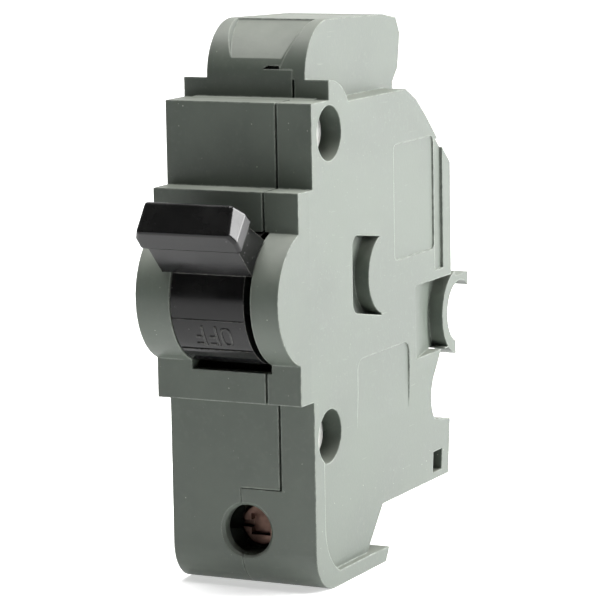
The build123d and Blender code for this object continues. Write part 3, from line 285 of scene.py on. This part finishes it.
# Pale colour for scratches and corner lines; on the corners it is partly rubbing and partly painted highlight.
CASE_PALE_WEAR_AND_HIGHLIGHT = (0.40, 0.43, 0.38)
# Pale colour of the specks and of the layer on faces turned up, which is partly settled dirt and partly painted
# top light.
DUST_AND_TOP_LIGHT_COLOUR = (0.46, 0.48, 0.42)


def case_finish(name):
    """Grey-green thermoset: satin, slightly cloudy, with pale corner lines that are partly rubbed and partly
    painted highlight, dusty specks, and faces turned up made paler, partly by settled dirt and partly as
    painted top light.
    """
    material, tree, shader = new_material(name, IOR=1.5)
    grain = use(tree, MOULDED_GRAIN, Grain_size=0.00045, Drift_size=0.016)
    drift = remap(tree, grain.outputs["Drift"], 0.3, 0.72)
    colour = blend_colours(tree, drift, CASE_DARK, CASE_LIGHT)
    speckle = remap(tree, grain.outputs["Speckle"], 0.54, 0.72, 0.0, 0.45)
    colour = blend_colours(tree, speckle, colour, CASE_LIGHT)
    scratches = use(tree, SCRATCHES, Spacing=0.006, Amount=0.14)
    colour = blend_colours(tree, scratches.outputs[0], colour, CASE_PALE_WEAR_AND_HIGHLIGHT)
    # Pale corner lines: partly rubbed edges, partly painted highlight along the ledges and front corners.
    wear_and_highlight = use(tree, EDGE_WEAR_AND_HIGHLIGHT, Width=0.00045, Breaks=650.0, Amount=0.45)
    colour = blend_colours(tree, wear_and_highlight.outputs[0], colour, CASE_PALE_WEAR_AND_HIGHLIGHT)
    # Dusty specks, and a pale layer on faces turned up that is partly settled dirt and partly painted light on
    # the ledges.
    dust_and_top_light = use(tree, DUST_AND_TOP_LIGHT, Speck_size=0.0008, Amount=0.6, Film=0.36)
    colour = blend_colours(tree, dust_and_top_light.outputs[0], colour, DUST_AND_TOP_LIGHT_COLOUR)
    join(tree, colour, shader.inputs["Base Color"])
    rough = remap(tree, grain.outputs["Drift"], 0.25, 0.75, 0.40, 0.56)
    rough = maths(tree, "ADD", rough, maths(tree, "MULTIPLY", dust_and_top_light.outputs[0], 0.3))
    join(tree, rough, shader.inputs["Roughness"])
    join(tree, soft_corner(tree, 0.0003, grain.outputs["Height"], 0.25, 0.00006), shader.inputs["Normal"])
    return material


def handle_finish():
    """Deep black gloss plastic with pale edge lines, partly rub marks and partly painted highlight, and dusty
    specks.
    """
    material, tree, shader = new_material("handle black", IOR=1.36)
    grain = use(tree, MOULDED_GRAIN, Grain_size=0.0006, Drift_size=0.006)
    drift = remap(tree, grain.outputs["Drift"], 0.35, 0.7)
    colour = blend_colours(tree, drift, (0.004, 0.004, 0.0042), (0.008, 0.008, 0.008))
    # Pale broken lines on the handle's edges: partly rubbing, partly painted highlight of the gloss edges.
    wear_and_highlight = use(tree, EDGE_WEAR_AND_HIGHLIGHT, Width=0.00025, Breaks=1400.0, Amount=0.6)
    colour = blend_colours(tree, wear_and_highlight.outputs[0], colour, (0.20, 0.20, 0.18))
    # Dusty specks, with a faint paler layer on faces turned up that is partly painted top light.
    dust_and_top_light = use(tree, DUST_AND_TOP_LIGHT, Speck_size=0.0006, Amount=0.5, Film=0.03)
    colour = blend_colours(tree, dust_and_top_light.outputs[0], colour, (0.30, 0.30, 0.28))
    join(tree, colour, shader.inputs["Base Color"])
    rough = remap(tree, grain.outputs["Drift"], 0.3, 0.75, 0.12, 0.24)
    rough = maths(tree, "ADD", rough, maths(tree, "MULTIPLY", dust_and_top_light.outputs[0], 0.4))
    join(tree, rough, shader.inputs["Roughness"])
    join(tree, soft_corner(tree, 0.0002, grain.outputs["Height"], 0.12, 0.00004), shader.inputs["Normal"])
    return material


def metal_finish(name, light, dark, rough_low, rough_high, streak=1.0, grain_size=0.0004):
    """Worked metal: drawn grain, slow tarnish and bright rubbed corners."""
    material, tree, shader = new_material(name, Metallic=1.0)
    grain = use(tree, MOULDED_GRAIN, Grain_size=grain_size, Drift_size=0.004)
    tarnish = remap(tree, grain.outputs["Drift"], 0.32, 0.7)
    colour = blend_colours(tree, tarnish, light, dark)
    scratches = use(tree, SCRATCHES, Spacing=0.002, Amount=0.5 * streak)
    colour = blend_colours(tree, scratches.outputs[0], colour, light)
    wear_and_highlight = use(tree, EDGE_WEAR_AND_HIGHLIGHT, Width=0.00015, Breaks=1500.0, Amount=0.5)
    colour = blend_colours(tree, wear_and_highlight.outputs[0], colour, tuple(min(1.0, c * 1.35) for c in light))
    join(tree, colour, shader.inputs["Base Color"])
    rough = remap(tree, grain.outputs["Drift"], 0.3, 0.7, rough_low, rough_high)
    join(tree, rough, shader.inputs["Roughness"])
    join(tree, soft_corner(tree, 0.00012, grain.outputs["Height"], 0.2, 0.00003), shader.inputs["Normal"])
    return material


def fibre_finish():
    """Pressed red-brown fibre board with short strands."""
    material, tree, shader = new_material("pressed fibre")
    grain = use(tree, MOULDED_GRAIN, Grain_size=0.0005, Drift_size=0.002)
    drift = remap(tree, grain.outputs["Drift"], 0.3, 0.7)
    colour = blend_colours(tree, drift, (0.20, 0.10, 0.055), (0.30, 0.17, 0.10))
    strands = use(tree, SCRATCHES, Spacing=0.0012, Amount=0.7)
    colour = blend_colours(tree, strands.outputs[0], colour, (0.42, 0.28, 0.18))
    join(tree, colour, shader.inputs["Base Color"])
    rough = remap(tree, grain.outputs["Speckle"], 0.3, 0.7, 0.7, 0.9)
    join(tree, rough, shader.inputs["Roughness"])
    join(tree, soft_corner(tree, 0.0001, grain.outputs["Height"], 0.4, 0.00008), shader.inputs["Normal"])
    return material


def braid_finish():
    """Woven copper wire: two crossed waves for the plait."""
    material, tree, shader = new_material("copper braid", Metallic=1.0)
    place = add(tree, "ShaderNodeTexCoord")
    plait = None
    for tilt in (0.8, -0.8):
        lay = add(tree, "ShaderNodeMapping")
        lay.inputs["Rotation"].default_value = (tilt, 0.0, tilt)
        join(tree, place.outputs["Object"], lay.inputs["Vector"])
        wave = add(tree, "ShaderNodeTexWave", Scale=900.0, Distortion=1.0)
        join(tree, lay.outputs[0], wave.inputs["Vector"])
        plait = wave.outputs["Fac"] if plait is None else maths(tree, "MAXIMUM", plait, wave.outputs["Fac"])
    colour = blend_colours(tree, plait, (0.22, 0.09, 0.045), (0.75, 0.38, 0.22))
    join(tree, colour, shader.inputs["Base Color"])
    rough = remap(tree, plait, 0.0, 1.0, 0.55, 0.32)
    join(tree, rough, shader.inputs["Roughness"])
    bump = add(tree, "ShaderNodeBump", Strength=0.6, Distance=0.0001)
    join(tree, plait, bump.inputs["Height"])
    join(tree, bump.outputs[0], shader.inputs["Normal"])
    return material


CASE_BASE = case_finish("case base moulding")
CASE_COVER = case_finish("case cover moulding")
HANDLE_BLACK = handle_finish()
ZINC_STEEL = metal_finish("zinc steel", (0.62, 0.62, 0.59), (0.36, 0.36, 0.34), 0.28, 0.5)
RIVET_STEEL = metal_finish("rivet steel", (0.52, 0.53, 0.51), (0.32, 0.32, 0.30), 0.36, 0.58)
# Very dark brown: partly the chromate's own tone, partly painted shade of the deep terminal hole the screw sits
# in.
SCREW_CHROMATE_AND_SHADE = metal_finish("chromated screw with painted shade", (0.12, 0.075, 0.06), (0.035, 0.02, 0.016), 0.28, 0.5)
COPPER = metal_finish("dull copper", (0.70, 0.36, 0.23), (0.34, 0.16, 0.09), 0.3, 0.55)
SILVER_TIP = metal_finish("silver contact", (0.82, 0.82, 0.79), (0.5, 0.49, 0.45), 0.22, 0.45)
SPRING_STEEL = metal_finish("spring steel", (0.45, 0.45, 0.44), (0.26, 0.26, 0.25), 0.2, 0.4)
STRIP_STEEL = metal_finish("rolled strip", (0.55, 0.53, 0.46), (0.33, 0.30, 0.24), 0.3, 0.5)
COLLAR_PLATE = metal_finish("collar plating", (0.66, 0.64, 0.56), (0.40, 0.38, 0.31), 0.25, 0.45)
FIBRE = fibre_finish()
BRAID = braid_finish()

NODE_FINISH = {
    "base_case": CASE_BASE,
    "cover_case": CASE_COVER,
    "case_rivets": RIVET_STEEL,
    "handle": HANDLE_BLACK,
    "terminal_screw": SCREW_CHROMATE_AND_SHADE,
    "contact_arm": COPPER,
    "line_strap": COPPER,
    "load_strap": COPPER,
    "jaw_left": COPPER,
    "jaw_right": COPPER,
    "moving_contact": SILVER_TIP,
    "fixed_contact": SILVER_TIP,
    "arc_walls": FIBRE,
    "vent_baffle": FIBRE,
    "toggle_spring": SPRING_STEEL,
    "armature_spring": SPRING_STEEL,
    "bimetal": STRIP_STEEL,
    "terminal_collar": COLLAR_PLATE,
    "braid": BRAID,
}


def finish_node(obj, material):
    """Gives a whole CAD node one finish."""
    obj.data.materials.clear()
    obj.data.materials.append(material)
    for face in obj.data.polygons:
        face.material_index = 0


for node_name, node_object in frame["nodes"].items():
    finish_node(node_object, NODE_FINISH.get(node_name, ZINC_STEEL))


# ---------- raised lettering and lines on the handle's skirt ----------
handle_joint = next(joint for joint in frame["joints"] if joint["name"] == "handle_turn")
HANDLE_AXIS = Vector(handle_joint["pos_m"])
DRUM_RADIUS = 10.85 * MM
RAISE = 0.16 * MM
SINK = 0.2 * MM


def on_drum(across, angle, radius):
    """Point on the drum: across the pole, and at an angle below straight out."""
    return Vector((across, HANDLE_AXIS.y - radius * math.cos(angle), -radius * math.sin(angle)))


def raised_stroke(shape, corners):
    """A raised bar on the drum between two edges, each a (start, end) pair of (across, angle)."""
    (a0, a1), (b0, b1) = corners
    steps = 6
    rows = []
    for i in range(steps + 1):
        t = i / steps
        left = (a0[0] + (a1[0] - a0[0]) * t, a0[1] + (a1[1] - a0[1]) * t)
        right = (b0[0] + (b1[0] - b0[0]) * t, b0[1] + (b1[1] - b0[1]) * t)
        middle = ((left[0] * 3 + right[0]) / 4, (left[1] * 3 + right[1]) / 4)
        other = ((left[0] + right[0] * 3) / 4, (left[1] + right[1] * 3) / 4)
        rows.append(
            [
                shape.verts.new(on_drum(*left, DRUM_RADIUS - SINK)),
                shape.verts.new(on_drum(*middle, DRUM_RADIUS + RAISE)),
                shape.verts.new(on_drum(*other, DRUM_RADIUS + RAISE)),
                shape.verts.new(on_drum(*right, DRUM_RADIUS - SINK)),
            ]
        )
    for row, following in zip(rows, rows[1:]):
        for j in range(4):
            k = (j + 1) % 4
            shape.faces.new((row[j], row[k], following[k], following[j]))
    shape.faces.new(rows[0][::-1])
    shape.faces.new(rows[-1])


def letter_o(shape, centre, angle, width, height, stroke):
    """Ring of an O with squarish ends, laid on the drum."""
    count = 28
    squareness = 0.62
    loops = []
    for inset, radius in ((0, -SINK), (0.3, RAISE), (0.7, RAISE), (1.0, -SINK)):
        loop = []
        for i in range(count):
            turn = 2 * math.pi * i / count
            c, s = math.cos(turn), math.sin(turn)
            across = (width / 2 - stroke * inset) * math.copysign(abs(c) ** squareness, c)
            along = (height / 2 - stroke * inset) * math.copysign(abs(s) ** squareness, s)
            spot = on_drum(centre + across, angle + along / DRUM_RADIUS, DRUM_RADIUS + radius)
            loop.append(shape.verts.new(spot))
        loops.append(loop)
    loops.append(loops[0])
    for loop, inner in zip(loops, loops[1:]):
        for i in range(count):
            k = (i + 1) % count
            shape.faces.new((loop[i], loop[k], inner[k], inner[i]))


def letter_f(shape, centre, angle, width, height, stroke):
    """Upside-down F laid on the drum: its stem, its arm at the bottom and its shorter middle arm."""
    def spot(u, v):
        return (centre - (u - 0.5) * width, angle + (v - 0.5) * height / DRUM_RADIUS)

    thin, low = stroke / width, stroke / height
    bars = (
        ((0, 0), (0, 1), (thin, 0), (thin, 1)),
        ((thin, 1), (1, 1), (thin, 1 - low), (1, 1 - low)),
        ((thin, 0.6), (0.85, 0.6), (thin, 0.6 - low), (0.85, 0.6 - low)),
    )
    for near_start, near_end, far_start, far_end in bars:
        raised_stroke(shape, ((spot(*near_start), spot(*near_end)), (spot(*far_start), spot(*far_end))))


def finish_mesh(name, shape, material, body):
    """Turns mesh code into a named piece that rides on a body."""
    bmesh.ops.recalc_face_normals(shape, faces=shape.faces)
    mesh = bpy.data.meshes.new(name)
    shape.to_mesh(mesh)
    shape.free()
    mesh.materials.append(material)
    piece = bpy.data.objects.new(name, mesh)
    bpy.context.scene.collection.objects.link(piece)
    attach(piece, body)
    return piece


LETTER_WIDTH = 1.9 * MM
LETTER_HEIGHT = 3.7 * MM
LETTER_STROKE = 0.62 * MM
LETTER_STEP = 2.3 * MM
WORD_MIDDLE = 0.4 * MM
OFF_ANGLE = math.radians(29.8)
LINE_ANGLES = (math.radians(14.4), math.radians(45.2))
LINE_HALF_WIDTH = 0.09 * MM
SKIRT_LEFT = -6.15 * MM
SKIRT_RIGHT = 6.3 * MM

words = bmesh.new()
letter_o(words, WORD_MIDDLE + LETTER_STEP, OFF_ANGLE, LETTER_WIDTH * 1.15, LETTER_HEIGHT, LETTER_STROKE)
for step in (0, -1):
    letter_f(words, WORD_MIDDLE + step * LETTER_STEP, OFF_ANGLE, LETTER_WIDTH, LETTER_HEIGHT, LETTER_STROKE)
finish_mesh("handle_lettering", words, HANDLE_BLACK, "handle")

skirt_lines = bmesh.new()
for line_angle in LINE_ANGLES:
    low_edge, high_edge = (line_angle + side * LINE_HALF_WIDTH / DRUM_RADIUS for side in (-1, 1))
    raised_stroke(
        skirt_lines,
        (
            ((SKIRT_LEFT, low_edge), (SKIRT_RIGHT, low_edge)),
            ((SKIRT_LEFT, high_edge), (SKIRT_RIGHT, high_edge)),
        ),
    )
finish_mesh("handle_skirt_lines", skirt_lines, HANDLE_BLACK, "handle")


# ---------- floor, light and camera ----------
FLOOR_HALF = 1.6
# Strength of the floor's painted glow.
FLOOR_GLOW = 0.55
FLOOR_BEND_START = 0.5
FLOOR_BEND_RADIUS = 0.8
LAMP_AIM = Vector((0.0, -0.02, 0.0))
WORLD_STRENGTH = 1.02
CAMERA_PLACE = (0.22733, -0.49147, 0.07500)
CAMERA_AZIMUTH = math.radians(26.34)
CAMERA_ELEVATION = math.radians(8.79)
CAMERA_ROLL = math.radians(-1.0)
CAMERA_LENS = 191.4


def make_floor():
    """Pale floor that curves up far behind. It glows from a little in front of the breaker backwards, less to
    the right: a painted glow that lights the breaker's lower faces from below in place of bounced light.
    """
    shape = bmesh.new()
    profile = [(-FLOOR_HALF, 0.0), (FLOOR_BEND_START, 0.0)]
    steps = 12
    for i in range(1, steps + 1):
        turn = math.radians(90 * i / steps)
        profile.append(
            (
                FLOOR_BEND_START + FLOOR_BEND_RADIUS * math.sin(turn),
                FLOOR_BEND_RADIUS * (1 - math.cos(turn)),
            )
        )
    profile.append((FLOOR_BEND_START + FLOOR_BEND_RADIUS, 2.2))
    rows = []
    for y, z in profile:
        rows.append([shape.verts.new((x, y, z + cad_low.z)) for x in (-2.4, 2.4)])
    for row, following in zip(rows, rows[1:]):
        shape.faces.new((row[0], row[1], following[1], following[0]))
    mesh = bpy.data.meshes.new("studio_floor")
    shape.to_mesh(mesh)
    shape.free()
    for face in mesh.polygons:
        face.use_smooth = True
    material, tree, shader = new_material("studio floor", Roughness=0.9)
    place = add(tree, "ShaderNodeTexCoord")
    noise = add(tree, "ShaderNodeTexNoise", Scale=3.0, Detail=2.0)
    join(tree, place.outputs["Object"], noise.inputs["Vector"])
    shade = blend_colours(tree, noise.outputs["Fac"], (0.93, 0.93, 0.93), (0.96, 0.96, 0.96))
    join(tree, shade, shader.inputs["Base Color"])
    parts = add(tree, "ShaderNodeSeparateXYZ")
    join(tree, place.outputs["Object"], parts.inputs[0])
    # Painted glow: it fades out in front of the breaker and stands in for light bounced onto its lower faces.
    glow = remap(tree, parts.outputs["Y"], -0.15, -0.03)
    glow = maths(tree, "MULTIPLY", glow, remap(tree, parts.outputs["X"], 0.12, 0.0, 0.35, 1.0))
    join(tree, blend_colours(tree, glow, (0.0, 0.0, 0.0), (1.0, 1.0, 1.0)), shader.inputs["Emission Color"])
    shader.inputs["Emission Strength"].default_value = FLOOR_GLOW
    mesh.materials.append(material)
    floor = bpy.data.objects.new("studio_floor", mesh)
    bpy.context.scene.collection.objects.link(floor)


def make_lamp(name, place, size, power):
    """White area lamp that points at the middle of the breaker."""
    lamp = bpy.data.lights.new(name, "AREA")
    lamp.shape = "RECTANGLE"
    lamp.size, lamp.size_y = size
    lamp.energy = power
    holder = bpy.data.objects.new(name, lamp)
    bpy.context.scene.collection.objects.link(holder)
    holder.location = place
    holder.rotation_mode = "QUATERNION"
    holder.rotation_quaternion = (LAMP_AIM - Vector(place)).to_track_quat("-Z", "Y")


def make_world():
    """Even studio light that is bright behind and dim in front."""
    world = bpy.data.worlds.new("studio")
    world.use_nodes = True
    tree = world.node_tree
    back = tree.nodes["Background"]
    place = add(tree, "ShaderNodeTexCoord")
    parts = add(tree, "ShaderNodeSeparateXYZ")
    join(tree, place.outputs["Generated"], parts.inputs[0])
    shade = remap(tree, parts.outputs["Y"], -0.6, 0.75, 0.02, 1.0)
    colour = blend_colours(tree, shade, (0.0, 0.0, 0.0), (1.0, 1.0, 1.0))
    join(tree, colour, back.inputs["Color"])
    back.inputs["Strength"].default_value = WORLD_STRENGTH
    bpy.context.scene.world = world


def make_camera():
    """Long lens from the front, a little to the right and above."""
    back = Vector(
        (
            math.sin(CAMERA_AZIMUTH) * math.cos(CAMERA_ELEVATION),
            -math.cos(CAMERA_AZIMUTH) * math.cos(CAMERA_ELEVATION),
            math.sin(CAMERA_ELEVATION),
        )
    )
    right = Vector((math.cos(CAMERA_AZIMUTH), math.sin(CAMERA_AZIMUTH), 0.0))
    up = back.cross(right)
    turned_right = right * math.cos(CAMERA_ROLL) + up * math.sin(CAMERA_ROLL)
    turned_up = -right * math.sin(CAMERA_ROLL) + up * math.cos(CAMERA_ROLL)
    camera = bpy.data.cameras.new("camera")
    camera.lens = CAMERA_LENS
    camera.sensor_width = 36.0
    camera.clip_start = 0.01
    camera.clip_end = 20.0
    holder = bpy.data.objects.new("camera", camera)
    bpy.context.scene.collection.objects.link(holder)
    holder.matrix_world = Matrix(
        (
            (turned_right.x, turned_up.x, back.x, CAMERA_PLACE[0]),
            (turned_right.y, turned_up.y, back.y, CAMERA_PLACE[1]),
            (turned_right.z, turned_up.z, back.z, CAMERA_PLACE[2]),
            (0, 0, 0, 1),
        )
    )
    bpy.context.scene.camera = holder


make_floor()
make_world()
make_lamp("key from the right", (0.70, 0.42, 0.26), (0.5, 0.6), 19.0)
make_lamp("soft top", (0.0, -0.12, 0.8), (0.7, 0.34), 8.5)
make_camera()
bpy.context.scene.view_settings.view_transform = "Standard"
